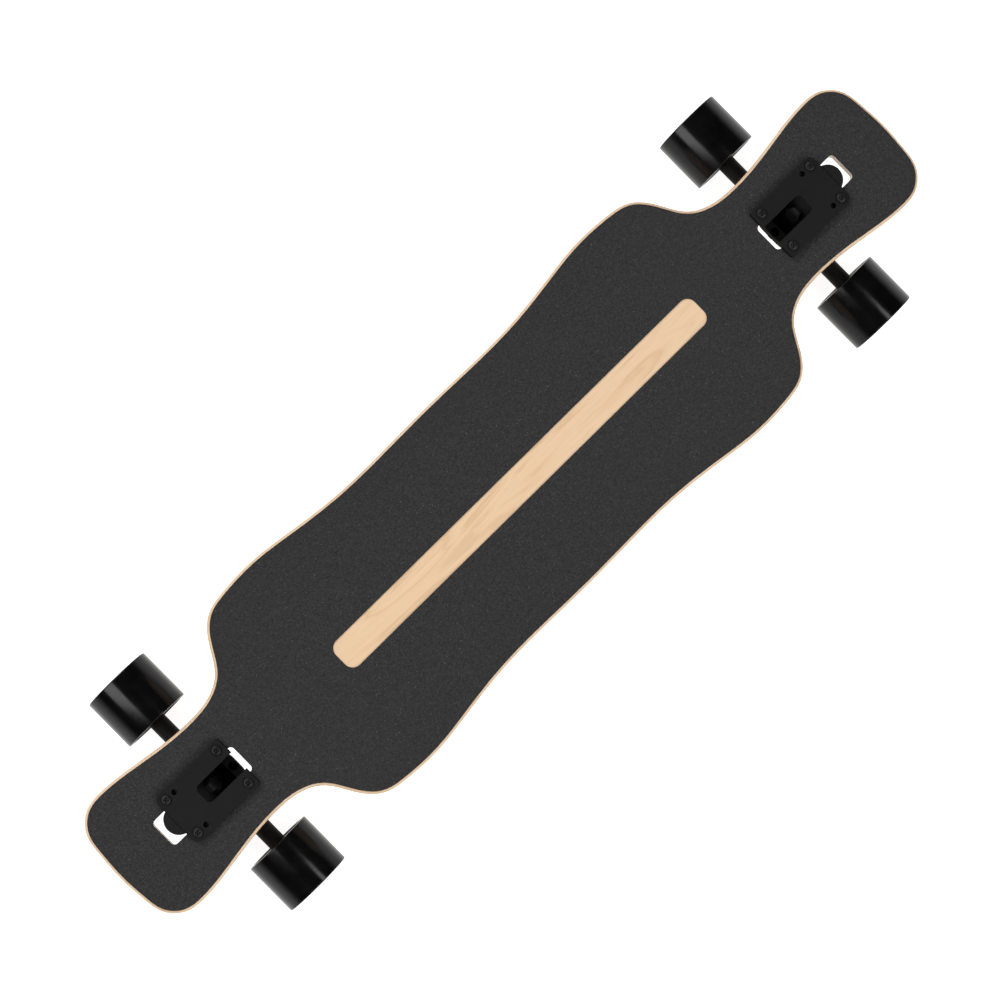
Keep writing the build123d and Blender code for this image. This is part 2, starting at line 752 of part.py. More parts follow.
def standoffs(x_range, half_y):
    places = [(x, s * half_y) for x in (x_range[0] + 4, x_range[1] - 4) for s in (-1, 1)]
    return [cylinder_z(2.5, floor_top, board_z, x, y) for x, y in places]


def make_management_board():
    board = block(*management_x, -38, 38, board_z, board_z + board_thickness)
    chips = [block(management_x[0] + 8, management_x[0] + 15, y, y + 9, board_z + 1, board_z + 3.2) for y in (-28, -10, 8)]
    plug = block(management_x[1] - 10, management_x[1] - 3, -18, 18, board_z + 1, board_z + 7)
    return board.fuse(*chips, plug, *standoffs(management_x, 34))


def make_controller_board():
    board = block(*controller_x, -37, 37, board_z, board_z + board_thickness)
    return board.fuse(*standoffs(controller_x, 34))


def make_controller_components():
    low = board_z + board_thickness + 0.05
    middle = (controller_x[0] + controller_x[1]) / 2
    switches = [block(middle + i * 11 - 4, middle + i * 11 + 4, -34, -24, low, low + 3) for i in (-2, -1, 0, 1, 2)]
    switches += [block(middle + i * 11 - 4, middle + i * 11 + 4, 24, 34, low, low + 3) for i in (-2, -1, 0, 1, 2)]
    capacitors = [cylinder_z(5, low, low + 12, middle + i * 14, 12) for i in (-1, 0, 1)]
    shunt = block(middle - 12, middle + 12, -14, -4, low, low + 4)
    return switches + capacitors + [shunt]


def make_heat_plate():
    gap = seat_gap
    x0, x1 = heat_plate_x
    plate = block(x0 + gap, x1 - gap, gap - heat_plate_half, heat_plate_half - gap, tray_bottom + 0.5, floor_top)
    rim = block(x0 - 3, x1 + 3, -heat_plate_half - 3, heat_plate_half + 3, floor_top + 0.05, floor_top + 1.5)
    fins = []
    count = 9
    for i in range(count):
        y = (i - (count - 1) / 2) * 6.5
        fins.append(block(x0 + 3, x1 - 3, y - 1, y + 1, tray_bottom - 3, tray_bottom + 1))
    return plate.fuse(rim, *fins)


def make_glands():
    x = -tray_length / 2 + tray_lip
    dome = fillet(cylinder_z(4.6, 3, 8).edges().sort_by(Axis.Z)[-1], 2)
    gland = cylinder_z(4, -6, 3) + hexagon(12, 0.1, 3) + dome
    gland = gland + ring(2.2, 5.8, -4.6, -2.6) - cylinder_z(2.2, -10, 20)
    return [Pos(x, s * gland_y, feature_z) * Rot(0, -90, 0) * gland for s in (-1, 1)]


def on_left_wall(shape, x):
    """Stands a shape made along Z on the tray's left wall, with +Z pointing out of it."""
    return Pos(x, wall_y, feature_z) * Rot(-90, 0, 0) * shape


def make_bezel():
    bush = ring(button_radius + running_gap, button_radius + 1.7, -9, 0.1)
    flange = ring(button_radius + running_gap, button_radius + 4, 0.1, 1.6)
    flange = fillet(flange.edges().sort_by(Axis.Z)[-1], 0.6)
    floor = cylinder_z(button_radius + 1.7, -10.5, -9)
    return on_left_wall(bush + flange + floor, button_x)


def make_button():
    button = cylinder_z(button_radius, -4, 2.6)
    return on_left_wall(fillet(button.edges().sort_by(Axis.Z)[-1], 0.8), button_x)


def make_button_spring():
    return on_left_wall(ring(2.2, 3.0, -8.95, -4.1), button_x)


def make_charge_port():
    body = ring(port_bore_radius, port_bore_radius + 1.6, -9, 0.1) + cylinder_z(port_bore_radius + 1.6, -10.5, -9)
    body += ring(port_bore_radius, port_cap_radius, 0.1, 1.6)
    body += cylinder_z(1.0, -9.5, -3.2)
    for s in (-1, 1):
        body += hinge_lug(s * 4.5, 0.1)
    return on_left_wall(body, port_x)


# the cap's hinge pin lies along X above the socket, a little outside its face
hinge_up = port_cap_radius + 2.6
hinge_out = 3.2


def hinge_lug(x, low):
    """An ear of the socket that holds the cap's pin; local Y points down the wall."""
    ear = block(x - 1, x + 1, -hinge_up - 1.8, -port_cap_radius, low, hinge_out)
    ear += block(x - 1, x + 1, -port_cap_radius, 2 - port_cap_radius, low, 1.5)
    ear += Pos(x, -hinge_up, hinge_out) * Rot(0, 90, 0) * Cylinder(1.8, 2)
    return ear - Pos(x, -hinge_up, hinge_out) * Rot(0, 90, 0) * Cylinder(0.8 + seat_gap, 10)


def make_hinge_pin():
    return on_left_wall(Pos(0, -hinge_up, hinge_out) * Rot(0, 90, 0) * Cylinder(0.8, 12), port_x)


def make_cap():
    disc = fillet(cylinder_z(port_cap_radius, 1.8, 3.8).edges().sort_by(Axis.Z)[-1], 0.6)
    stub = cylinder_z(port_bore_radius - 0.6, 0.2, 2)
    arm = block(-3.2, 3.2, -hinge_up, -port_cap_radius + 3, 2.2, 3.8)
    barrel = Pos(0, -hinge_up, hinge_out) * Rot(0, 90, 0) * Cylinder(1.7, 6.4)
    hole = Pos(0, -hinge_up, hinge_out) * Rot(0, 90, 0) * Cylinder(0.8 + running_gap, 10)
    return on_left_wall(disc + stub + arm + barrel - hole, port_x)


# ---- every node and its solids ----

def wheel_sets():
    front = {"tyre": make_front_tyre(), "core": make_front_core(), "bearings": make_bearings(front_bearings)}
    rear = {
        "tyre": make_rear_tyre(),
        "motor_can": make_motor_can(),
        "end_cover": make_end_cover(),
        "magnets": make_magnets(),
        "bearings": make_bearings(rear_bearings),
    }
    nodes = {}
    for end, pieces, place in (("front", front, at_front), ("rear", rear, at_rear)):
        for name, shapes in pieces.items():
            left = place(shapes)
            nodes[f"{end}_left_{name}"] = left
            nodes[f"{end}_right_{name}"] = [mirror(s, Plane.XZ) for s in left]
    return nodes


def all_nodes():
    nodes = {
        "deck": make_deck(),
        "grip_tape": make_grip_tape(),
        "front_baseplate": at_front(make_baseplate()),
        "rear_baseplate": at_rear(make_baseplate()),
        "front_kingpin": at_front(make_kingpin()),
        "rear_kingpin": at_rear(make_kingpin()),
        "kingpin_nuts": at_both_ends(make_kingpin_nut()),
        "bushing_washers": at_both_ends(make_bushing_washers()),
        "front_boardside_bushing": at_front(make_bushing(-1)),
        "front_roadside_bushing": at_front(make_bushing(1)),
        "rear_boardside_bushing": at_rear(make_bushing(-1)),
        "rear_roadside_bushing": at_rear(make_bushing(1)),
        "pivot_cups": at_both_ends(make_pivot_cup()),
        "truck_bolts": at_both_ends(make_truck_bolts()),
        "truck_lock_nuts": at_both_ends(make_truck_lock_nuts()),
        "front_hanger": at_front(make_hanger(hanger_half_length, 5.8)),
        "rear_hanger": at_rear(make_hanger(motor_hanger_half_length, 5.8)),
        "front_axle": at_front(make_axle(front_stack_end, 7.5)),
        "rear_axle": at_rear(make_axle(rear_stack_end, 4.2)),
        "front_axle_nuts": at_front(make_axle_nuts(front_stack_end, 7.5)),
        "rear_axle_nuts": at_rear(make_axle_nuts(rear_stack_end, 4.2)),
        "front_axle_spacers": at_front(make_axle_spacers(front_bearings, front_stack_end, 5.8)),
        "rear_axle_spacers": at_rear(make_axle_spacers(rear_bearings, rear_stack_end, sleeve_radius)),
        "front_inner_rings": at_front(make_inner_rings(front_bearings)),
        "rear_inner_rings": at_rear(make_inner_rings(rear_bearings)),
        "motor_stators": at_rear(make_stators()),
        "motor_windings": at_rear(make_windings()),
        "tray": make_tray(),
        "tray_gasket": make_gasket(),
        "tray_screws": make_screws(),
        "battery_cells": make_cells(),
        "cell_cradles": make_cradles(),
        "cell_links": make_cell_links(),
        "battery_management_board": make_management_board(),
        "motor_controller_board": make_controller_board(),
        "controller_components": make_controller_components(),
        "heat_plate": make_heat_plate(),
        "cable_glands": make_glands(),
        "button_bezel": make_bezel(),
        "power_button": make_button(),
        "button_spring": make_button_spring(),
        "charge_port": make_charge_port(),
        "charge_cap_pin": make_hinge_pin(),
        "charge_port_cap": make_cap(),
    }
    nodes.update(wheel_sets())
    return nodes


os.makedirs("parts", exist_ok=True)
for node, shapes in all_nodes().items():
    pieces = solids_of(shapes)
    export_step(pieces[0] if len(pieces) == 1 else Compound(children=pieces), f"parts/{node}.step")
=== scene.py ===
# %% [markdown]
# # An electric longboard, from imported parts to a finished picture
# The parts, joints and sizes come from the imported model, which loads as a fixed frame. This script adds
# what the frame can't hold: finishes, cast-looking surfaces, light and a camera.

# %% Load the frame
import json
from math import cos, pi, radians, sin

import bmesh
import bpy
from mathutils import Matrix, Vector


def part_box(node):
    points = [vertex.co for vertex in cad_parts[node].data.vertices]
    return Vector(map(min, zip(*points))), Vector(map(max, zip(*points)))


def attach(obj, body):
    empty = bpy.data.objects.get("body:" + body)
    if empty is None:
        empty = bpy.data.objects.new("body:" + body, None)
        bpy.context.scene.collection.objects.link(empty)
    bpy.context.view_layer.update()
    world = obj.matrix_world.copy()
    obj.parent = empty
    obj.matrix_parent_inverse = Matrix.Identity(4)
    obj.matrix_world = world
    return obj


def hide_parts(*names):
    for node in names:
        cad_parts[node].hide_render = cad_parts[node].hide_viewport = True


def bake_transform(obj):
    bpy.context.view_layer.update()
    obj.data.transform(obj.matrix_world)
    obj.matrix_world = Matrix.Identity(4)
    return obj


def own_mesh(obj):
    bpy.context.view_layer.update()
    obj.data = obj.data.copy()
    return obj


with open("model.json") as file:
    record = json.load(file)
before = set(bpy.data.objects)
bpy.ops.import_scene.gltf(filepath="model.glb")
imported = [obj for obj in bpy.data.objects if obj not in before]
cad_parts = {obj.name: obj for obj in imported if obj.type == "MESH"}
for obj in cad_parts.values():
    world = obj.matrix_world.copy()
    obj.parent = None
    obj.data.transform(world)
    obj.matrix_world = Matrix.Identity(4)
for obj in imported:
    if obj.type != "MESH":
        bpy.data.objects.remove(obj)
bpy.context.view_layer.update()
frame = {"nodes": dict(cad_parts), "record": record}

nodes = frame["nodes"]

# %% [markdown]
# ## Camera
# A long lens high above the board keeps the outline nearly parallel. The camera stands a little behind the
# middle and looks slightly forward, so the front wheels show a trace of their rear sides. The board runs
# from the lower left of the frame to the upper right, so the camera is turned about its own axis.

# %% Camera above the deck
plate_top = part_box("front_baseplate")[1].z
board_turn = radians(44.65)
camera_height = 2.494
camera_side = 0.0019
camera_place = Vector((-0.185, camera_side, plate_top + camera_height))
camera_target = Vector((-0.0078, camera_side, plate_top))

lens_data = bpy.data.cameras.new("studio_camera")
lens_data.sensor_width = 36.0
lens_data.lens = 98.06
lens_data.clip_end = 50.0
camera = bpy.data.objects.new("studio_camera", lens_data)
bpy.context.scene.collection.objects.link(camera)
ahead = (camera_target - camera_place).normalized()
up_hint = Vector((sin(board_turn), cos(board_turn), 0))
picture_up = (up_hint - ahead * up_hint.dot(ahead)).normalized()
picture_right = ahead.cross(picture_up)
turn = Matrix((picture_right, picture_up, -ahead)).transposed()
camera.matrix_world = Matrix.Translation(camera_place) @ turn.to_4x4()
bpy.context.scene.camera = camera
print("camera at", tuple(round(v, 3) for v in camera_place))

# %% [markdown]
# ## Shader formulas
# A material is a formula over the surface. Writing it node by node hides the formula, so one small class
# wraps a socket and gives it the usual operators, and another holds the material and adds any other node.

# %% A socket with operators
class Wire:
    """One value of a material's formula."""

    def __init__(self, sheet, socket):
        self.sheet, self.socket = sheet, socket

    def math(self, operation, *others):
        return self.sheet.add("Math", {"operation": operation}, dict(enumerate((self, *others))))

    def __add__(self, other):
        return self.math("ADD", other)

    def __sub__(self, other):
        return self.math("SUBTRACT", other)

    def __mul__(self, other):
        return self.math("MULTIPLY", other)

    def __truediv__(self, other):
        return self.math("DIVIDE", other)

    def __gt__(self, other):
        return self.math("GREATER_THAN", other)

    def __lt__(self, other):
        return self.math("LESS_THAN", other)

    def __abs__(self):
        return self.math("ABSOLUTE")


# %% A material being written
def pick(sockets, key):
    if isinstance(key, int):
        return sockets[key]
    return next(s for s in sockets if key in (s.name, s.identifier))


class Sheet:
    """A material under construction: it adds nodes and joins their sockets."""

    def __init__(self, name):
        self.material = bpy.data.materials.new(name)
        self.material.use_nodes = True
        self.tree = self.material.node_tree
        self.shader = self.tree.nodes["Principled BSDF"]
        self.place = self.add("TexCoord", out="Object")

    def feed(self, socket, value):
        if isinstance(value, Wire):
            self.tree.links.new(value.socket, socket)
        elif socket.type == "RGBA" and len(value) == 3:
            socket.default_value = (*value, 1.0)
        else:
            socket.default_value = value

    def add(self, kind, settings=None, links=None, out=0):
        node = self.tree.nodes.new("ShaderNode" + kind)
        for name, value in (settings or {}).items():
            setattr(node, name, value)
        for name, value in (links or {}).items():
            self.feed(pick(node.inputs, name), value)
        return Wire(self, pick(node.outputs, out))

    def axes(self):
        """The three parts of the place on the object, in metres."""
        first = self.add("SeparateXYZ", None, {0: self.place})
        return [Wire(self, socket) for socket in first.socket.node.outputs]

    def stretched(self, x, y, z):
        return self.add("VectorMath", {"operation": "MULTIPLY"}, {0: self.place, 1: (x, y, z)})

    def noise(self, scale, detail=4.0, grain=0.55, place=None, warp=0.0):
        links = {"Vector": place or self.place, "Scale": scale, "Detail": detail, "Roughness": grain,
                 "Distortion": warp}
        return self.add("TexNoise", None, links)

    def cells(self, scale, feature="F1", place=None):
        links = {"Vector": place or self.place, "Scale": scale}
        return self.add("TexVoronoi", {"feature": feature}, links, "Distance")

    def spread(self, value, low, high, to_low=0.0, to_high=1.0):
        """Moves the range low to high of a value onto another range, and holds it there."""
        links = {"Value": value, "From Min": low, "From Max": high, "To Min": to_low, "To Max": to_high}
        return self.add("MapRange", None, links)

    def blend(self, mask, first, second):
        links = {"Factor_Float": mask, "A_Color": first, "B_Color": second}
        return self.add("Mix", {"data_type": "RGBA"}, links, "Result_Color")

    def relief(self, height, depth, strength=1.0):
        return self.add("Bump", None, {"Height": height, "Distance": depth, "Strength": strength})

    def finish(self, **sockets):
        names = {"colour": "Base Color", "roughness": "Roughness", "metal": "Metallic",
                 "normal": "Normal", "coat": "Coat Weight", "coat_roughness": "Coat Roughness",
                 "specular": "Specular IOR Level"}
        for key, value in sockets.items():
            self.feed(self.shader.inputs[names[key]], value)
        print("material", self.material.name, "with", len(self.tree.nodes), "nodes")
        return self.material


def linear(*levels):
    """A colour given as 0 to 255 screen levels, in the linear values that shaders use."""
    parts = [v / 255 for v in levels]
    return tuple(p / 12.92 if p <= 0.04045 else ((p + 0.055) / 1.055) ** 2.4 for p in parts)


# %% [markdown]
# ## Maple
# The deck is pressed from seven maple veneers. Its top veneer shows through the bare stripe: pale, with
# fine lines along the board and broad, faint figure. At the edge the veneers show as layers, and every
# second one looks darker because its grain runs across. The layer is found from the depth below the top
# face, which rises towards the sides with the deck's concave.

# %% Maple with layers at the edge
veneer_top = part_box("grip_tape")[0].z + 0.00008
deck_thickness = 0.011
ply_count = 7
ply = deck_thickness / ply_count
flat_half = 0.060
rail_radius = 0.2382


def make_maple():
    s = Sheet("maple")
    y, z = s.axes()[1:]
    rail = (abs(y) - flat_half).math("MAXIMUM", 0.0)
    depth = rail * rail / (2 * rail_radius) + veneer_top - z
    layer = (depth / ply).math("FLOOR")
    crossed = abs(layer).math("MODULO", 2.0) > 0.5
    glue = abs((depth / ply).math("FRACT") - 0.5) > 0.47
    lines = s.noise(1.0, 6.0, 0.65, s.stretched(9, 620, 620))
    pores = s.noise(1.0, 3.0, 0.7, s.stretched(70, 2600, 2600))
    figure = s.noise(1.0, 3.0, 0.5, s.stretched(5, 42, 42), warp=1.6)
    rings = (figure * 22.0).math("SINE") * 0.5 + 0.5
    tone = lines * 0.45 + rings * 0.2 + figure * 0.35
    wood = s.blend(s.spread(tone, 0.3, 0.72), linear(211, 182, 149), linear(200, 168, 133))
    wood = s.blend(s.spread(pores, 0.58, 0.8, 0.0, 0.4), wood, linear(172, 138, 102))
    wood = s.blend(s.spread(rings, 0.86, 1.0, 0.0, 0.3), wood, linear(184, 150, 114))
    wood = s.blend(crossed * 0.6, wood, linear(184, 146, 108))
    wood = s.blend(glue * (layer > 0.5) * 0.5, wood, linear(120, 86, 56))
    rough = s.spread(lines, 0.3, 0.7, 0.34, 0.48)
    bumps = s.relief(lines * 0.6 + pores * 0.4, 0.00012, 0.5)
    return s.finish(colour=wood, roughness=rough, normal=bumps, coat=0.25, coat_roughness=0.25)


maple = make_maple()

# %% [markdown]
# ## Grip tape
# The tape is black grit glued to a film, like coarse sandpaper. Each grain is under a millimetre, so the
# grain comes from cell and noise textures at that size, which drive colour, roughness and relief. A few
# grains face the light and sparkle. Very large, faint patches keep the sheet from looking flat.

# %% Black grit
def make_grit():
    s = Sheet("grip_grit")
    grains = s.cells(1500)
    mottle = s.noise(620, 3.0, 0.6)
    patches = s.noise(7, 3.0, 0.5)
    sparkle = s.spread(s.noise(950, 1.0, 0.5), 0.70, 0.80)
    tone = s.spread(mottle, 0.3, 0.7) * 0.65 + s.spread(grains, 0.1, 0.6) * 0.35
    grit = s.blend(tone, linear(12, 12, 13), linear(54, 54, 55))
    grit = s.blend(s.spread(patches, 0.3, 0.7, 0.0, 0.2), grit, linear(44, 44, 46))
    grit = s.blend(sparkle * 0.75, grit, linear(105, 105, 107))
    rough = s.spread(sparkle, 0.0, 1.0, 0.88, 0.5)
    bumps = s.relief(grains * -1.0 + mottle * 0.6, 0.0004, 0.75)
    return s.finish(colour=grit, roughness=rough, normal=bumps, specular=0.16)


grit = make_grit()

# %% [markdown]
# ## Black metal
# The trucks are cast aluminium with a black powder coat, which has a faint orange-peel relief. The bolts
# and kingpins are steel with a black oxide, smoother and a little oily. One function writes both: the
# peel's size, its depth and the range of roughness are what differ. Shade is painted into the slot over
# the kingpin: below the plate's top the colour is pulled to near black, and the finish turns dull.

# %% Powder coat and black oxide
slot_half = 0.0101


def make_black_metal(name, dark, light, peel, depth, rough, metal, shine):
    s = Sheet(name)
    skin = s.noise(peel, 3.0, 0.5)
    clouds = s.noise(30, 4.0, 0.6)
    scuffs = s.spread(s.noise(1.0, 5.0, 0.7, s.stretched(900, 140, 500)), 0.66, 0.8)
    paint = s.blend(clouds, linear(*dark), linear(*light))
    paint = s.blend(scuffs * 0.3, paint, linear(60, 60, 62))
    gloss = s.spread(skin * 0.6 + clouds * 0.4, 0.3, 0.7, *rough)
    y, z = s.axes()[1:]
    # Painted shade: in the slot over the kingpin, between its walls and below the plate's top, the colour
    # is pulled to near black.
    between_walls = s.spread(abs(y), slot_half, slot_half + 0.0007, 1.0, 0.0)
    below_top = s.spread(z, plate_top - 0.009, plate_top - 0.0062, 1.0, 0.0)
    painted_slot_shade = between_walls * below_top
    paint = s.blend(painted_slot_shade * 0.9, paint, linear(2, 2, 2))
    gloss = gloss.math("MAXIMUM", painted_slot_shade * 0.95)
    return s.finish(colour=paint, roughness=gloss, metal=metal, specular=shine,
                    normal=s.relief(skin, depth, 0.5))


powder_coat = make_black_metal("powder_coat", (11, 11, 12), (18, 18, 19), peel=1300, depth=0.00012,
                               rough=(0.5, 0.68), metal=0.0, shine=0.13)
black_oxide = make_black_metal("black_oxide", (20, 20, 21), (36, 36, 38), peel=2200, depth=0.00004,
                               rough=(0.3, 0.45), metal=0.5, shine=0.3)

# %% [markdown]
# ## Urethane
# The wheels are poured in polished moulds, so they mirror the studio in long soft bands. The surface
# isn't perfect: it waves slightly over centimetres, which bends the bands, and carries fine rub marks.

# %% Glossy and matt urethane
def make_urethane(name, colour, rough, wave):
    s = Sheet(name)
    waves = s.noise(16, 2.0, 0.4)
    rubs = s.noise(1.0, 6.0, 0.7, s.stretched(220, 900, 220))
    film = s.noise(45, 4.0, 0.6)
    body = s.blend(s.spread(film, 0.3, 0.7), linear(*colour), linear(*[c + 5 for c in colour]))
    gloss = s.spread(rubs * 0.6 + film * 0.4, 0.35, 0.65, *rough)
    normal = s.relief(waves + rubs * 0.01, wave, 0.6)
    return s.finish(colour=body, roughness=gloss, normal=normal, specular=0.2)


wheel_urethane = make_urethane("wheel_urethane", (3, 3, 4), (0.12, 0.22), 0.0006)
bushing_urethane = make_urethane("bushing_urethane", (16, 16, 17), (0.4, 0.55), 0.0003)

# %% [markdown]
# ## Bare metals
# Axles, nuts, bearings, the heat plate and the motor's iron are bare or plated. Each is a metal with fine
# marks along the way it was worked: the marks are a noise stretched along one direction.

# %% Worked metal
mark_depth = 0.00003


def make_metal(name, dark, light, rough, marks):
    s = Sheet(name)
    worked = s.noise(1.0, 5.0, 0.65, s.stretched(*marks))
    clouds = s.noise(60, 4.0, 0.6)
    colour = s.blend(worked * 0.6 + clouds * 0.4, linear(*dark), linear(*light))
    gloss = s.spread(worked * 0.7 + clouds * 0.3, 0.3, 0.7, *rough)
    return s.finish(colour=colour, roughness=gloss, metal=1.0, normal=s.relief(worked, mark_depth, 0.5))


turned = (300, 5000, 300)
zinc = make_metal("zinc_plate", (170, 172, 176), (214, 215, 218), (0.22, 0.38), (700, 700, 700))
ground_steel = make_metal("ground_steel", (150, 150, 152), (196, 196, 198), (0.2, 0.34), (4000, 60, 4000))
bearing_steel = make_metal("bearing_steel", (186, 187, 190), (222, 222, 225), (0.1, 0.2), (900, 3000, 900))
black_anodised = make_metal("black_anodised", (26, 26, 28), (44, 44, 47), (0.28, 0.42), turned)
satin_anodised = make_metal("satin_anodised", (150, 151, 154), (186, 187, 190), (0.3, 0.42), turned)
milled = (60, 2600, 60)
milled_aluminium = make_metal("milled_aluminium", (112, 113, 116), (160, 161, 164), (0.3, 0.45), milled)
nickel = make_metal("nickel_strip", (176, 170, 156), (212, 206, 192), (0.25, 0.4), (60, 1800, 900))
magnet_plate = make_metal("magnet_plate", (160, 162, 166), (200, 201, 205), (0.2, 0.35), (800, 800, 800))

# %% [markdown]
# ## Motor iron and copper
# The stator is a stack of thin sheets, so bands run round it a third of a millimetre apart. The windings
# are enamelled wire laid side by side. Both are stripes: the sine of a place, with a little noise.

# %% Stacked sheets and wire turns
def make_striped_metal(name, dark, light, pitch, rough, depth):
    s = Sheet(name)
    y = s.axes()[1]
    stripes = ((y + s.noise(300) * 0.0001) * (2 * pi / pitch)).math("SINE") * 0.5 + 0.5
    clouds = s.noise(90, 4.0, 0.6)
    colour = s.blend(stripes * 0.7 + clouds * 0.3, linear(*dark), linear(*light))
    gloss = s.spread(clouds, 0.3, 0.7, *rough)
    return s.finish(colour=colour, roughness=gloss, metal=0.9, normal=s.relief(stripes, depth, 0.6))


laminations = make_striped_metal("stator_sheets", (70, 72, 76), (128, 130, 134), pitch=0.00035,
                                 rough=(0.35, 0.5), depth=0.00006)
copper = make_striped_metal("enamelled_copper", (120, 52, 22), (214, 124, 70), pitch=0.0007,
                            rough=(0.22, 0.36), depth=0.0002)

# %% [markdown]
# ## Plastics and rubber
# The tray is moulded with a fine leather-like texture that hides scratches. Small parts are smoother.
# The gasket and the cap are soft rubber, dull and slightly dusty.

# %% Moulded plastic and rubber
def make_plastic(name, colour, rough, texture, depth, dust=0.1):
    s = Sheet(name)
    pebbles = s.cells(texture, "SMOOTH_F1")
    fine = s.noise(texture * 1.7, 3.0, 0.6)
    clouds = s.noise(25, 4.0, 0.6)
    base = s.blend(clouds, linear(*colour), linear(*[c + 9 for c in colour]))
    base = s.blend(s.spread(fine, 0.55, 0.8, 0.0, dust), base, linear(120, 118, 114))
    gloss = s.spread(fine * 0.5 + clouds * 0.5, 0.3, 0.7, *rough)
    return s.finish(colour=base, roughness=gloss, normal=s.relief(pebbles + fine * 0.4, depth, 0.6))


tray_plastic = make_plastic("tray_plastic", (26, 26, 27), (0.5, 0.64), 1500, 0.00016)
smooth_plastic = make_plastic("smooth_plastic", (20, 20, 21), (0.26, 0.4), 2600, 0.00003, 0.04)
core_plastic = make_plastic("core_plastic", (34, 34, 36), (0.42, 0.56), 1900, 0.00008)
cradle_plastic = make_plastic("cradle_plastic", (52, 52, 54), (0.45, 0.6), 1700, 0.00008)
soft_rubber = make_plastic("soft_rubber", (22, 22, 22), (0.72, 0.88), 2200, 0.0001, 0.2)

# %% [markdown]
# ## Electronics
# Inside the tray lie cells in shrink wrap and two circuit boards. A board is green lacquer over copper
# tracks: a grid of cell borders stands for the tracks, which lie a hair higher than the rest.

# %% Circuit board and cell wrap
def make_circuit_board():
    s = Sheet("circuit_board")
    borders = s.cells(170, "DISTANCE_TO_EDGE", s.stretched(1, 1, 0))
    tracks = borders < 0.06
    pads = s.cells(420, place=s.stretched(1, 1, 0)) < 0.16
    weave = s.noise(900, 2.0, 0.5)
    lacquer = s.blend(weave, linear(14, 66, 34), linear(20, 84, 44))
    lacquer = s.blend(tracks * 0.8, lacquer, linear(34, 118, 62))
    lacquer = s.blend(pads * 0.9, lacquer, linear(204, 196, 170))
    metal = pads * 0.8
    return s.finish(colour=lacquer, roughness=s.spread(weave, 0.3, 0.7, 0.25, 0.4), metal=metal,
                    normal=s.relief(tracks + pads, 0.00004, 0.6))


def make_cell_wrap():
    s = Sheet("cell_wrap")
    wrinkles = s.noise(1.0, 5.0, 0.6, s.stretched(60, 600, 600))
    clouds = s.noise(40, 3.0, 0.5)
    film = s.blend(clouds, linear(16, 92, 104), linear(24, 112, 122))
    gloss = s.spread(wrinkles, 0.3, 0.7, 0.18, 0.34)
    return s.finish(colour=film, roughness=gloss, normal=s.relief(wrinkles, 0.00008, 0.5))


circuit_board = make_circuit_board()
cell_wrap = make_cell_wrap()

# %% [markdown]
# ## Finishes on the parts
# The record names a finish for every node, so one table from its slots to the materials dresses them all.

# %% Dress every node
finishes = {
    "maple_deck": maple, "grip": grit, "black_casting": powder_coat, "black_steel": black_oxide,
    "zinc_steel": zinc, "axle_steel": ground_steel, "black_urethane": wheel_urethane,
    "bushing_urethane": bushing_urethane, "wheel_core": core_plastic, "bearing_steel": bearing_steel,
    "motor_shell": black_anodised, "magnet": magnet_plate, "lamination": laminations, "copper": copper,
    "tray_plastic": tray_plastic, "seal_rubber": soft_rubber, "cell_wrap": cell_wrap,
    "cradle_plastic": cradle_plastic, "nickel": nickel, "circuit_board": circuit_board,
    "component": smooth_plastic, "heat_aluminium": milled_aluminium, "button_metal": satin_anodised,
    "port_plastic": smooth_plastic,
}
for subpart in frame["record"]["subparts"]:
    mesh = nodes[subpart["node"]].data
    material = finishes[subpart["material_slot"]]
    if not mesh.materials:
        mesh.materials.append(material)
    for index in range(len(mesh.materials)):
        mesh.materials[index] = material

# %% [markdown]
# ## Cast wheels
# A wheel is a turned shape, so it is drawn as a profile and spun round the axle. The mould leaves a flat
# tread with tight corners and a shallow dished side. The corners are curves of a few steps, and 192 steps
# round the axle keep the reflections clean.

# %% Turned pieces
spin_steps = 192


def rounded(points, radius, steps=6):
    """A closed profile whose marked corners are rounded; a point is (radius, along, rounded or not)."""
    outline = []
    count = len(points)
    for i, (r, a, soft) in enumerate(points):
        here = Vector((r, a))
        if not soft:
            outline.append(here)
            continue
        before = Vector(points[i - 1][:2]) - here
        after = Vector(points[(i + 1) % count][:2]) - here
        reach = min(radius, before.length * 0.45, after.length * 0.45)
        start, end = here + before.normalized() * reach, here + after.normalized() * reach
        for k in range(steps + 1):
            t = k / steps
            outline.append(start * (1 - t) ** 2 + here * 2 * t * (1 - t) + end * t * t)
    return outline


def turned_piece(name, outline, centre, along, material, steps=spin_steps):
    """Spins a profile of (radius, distance along the axis) round the axis that runs through centre."""
    along = Vector(along).normalized()
    sideways = along.cross(Vector((0, 1, 0)) if abs(along.y) < 0.9 else Vector((0, 0, 1))).normalized()
    third = along.cross(sideways)
    shape = bmesh.new()
    loops = []
    for k in range(steps):
        angle = 2 * pi * k / steps
        out = sideways * cos(angle) + third * sin(angle)
        loops.append([shape.verts.new(centre + out * p.x + along * p.y) for p in outline])
    for k in range(steps):
        near, far = loops[k], loops[(k + 1) % steps]
        for i in range(len(outline)):
            j = (i + 1) % len(outline)
            shape.faces.new((near[i], near[j], far[j], far[i]))
    return finished_piece(name, shape, material)


def finished_piece(name, shape, material):
    bmesh.ops.recalc_face_normals(shape, faces=shape.faces)
    mesh = bpy.data.meshes.new(name)
    shape.to_mesh(mesh)
    shape.free()
    mesh.materials.append(material)
    mesh.shade_smooth()
    mesh.set_sharp_from_angle(angle=radians(40))
    piece = bpy.data.objects.new(name, mesh)
    bpy.context.scene.collection.objects.link(piece)
    return piece


